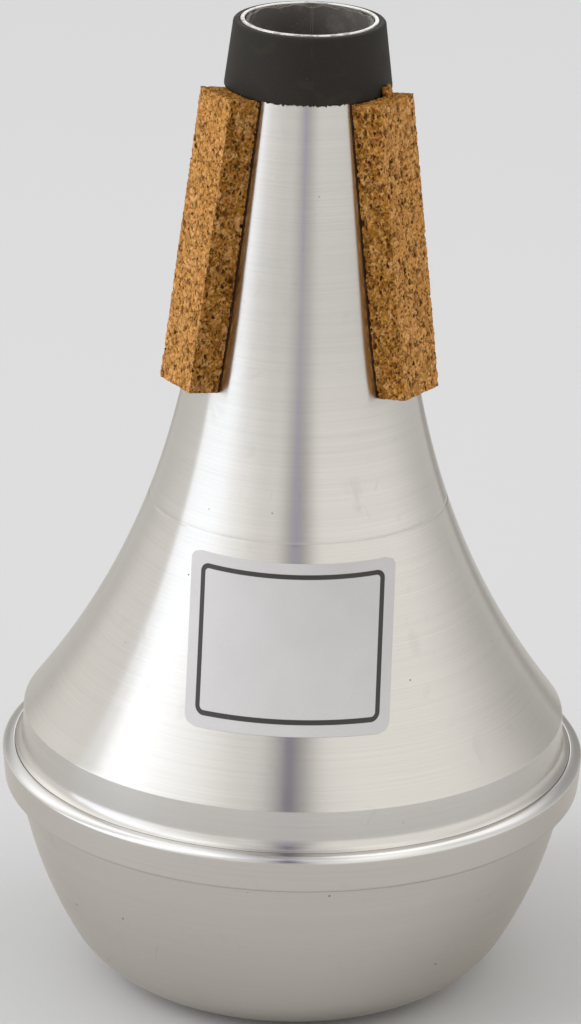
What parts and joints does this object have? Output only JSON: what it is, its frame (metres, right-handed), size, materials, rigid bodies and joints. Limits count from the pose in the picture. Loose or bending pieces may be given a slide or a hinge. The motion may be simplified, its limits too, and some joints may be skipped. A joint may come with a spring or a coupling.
{
  "type": "trumpet straight mute",
  "caption": "Straight mute for a trumpet: a hollow spun cone with a flared body, a rounded end cap rolled onto it, a black sleeve at the open small end and cork strips that grip the bell.",
  "frame": {"origin": "middle of the flat bottom of the end cap, on the mute's axis", "axes": "+Z along the mute's axis, from the end cap to the open small end; -Y towards the side seen from the front, between the two front cork strips; +X to the right of that side"},
  "size_m": [0.101, 0.101, 0.1703],
  "materials": {
    "spun_aluminium": "satin, spun, fine turning lines round the axis",
    "cap_aluminium": "satin, spun, a little duller than the cone",
    "black_sleeve": "matt black, slightly fibrous lower edge",
    "black_lining": "matt black strip",
    "cork": "agglomerated cork, cut, unsealed",
    "cork_glue": "dried brown contact adhesive"
  },
  "bodies": {
    "root": {"cone_body": "spun_aluminium", "base_cup": "cap_aluminium", "end_sleeve": "black_sleeve", "mouth_liner": "black_lining", "cork_left": "cork", "cork_right": "cork", "cork_rear": "cork", "cork_glue_left": "cork_glue", "cork_glue_right": "cork_glue", "cork_glue_rear": "cork_glue"}
  },
  "joints": []
}
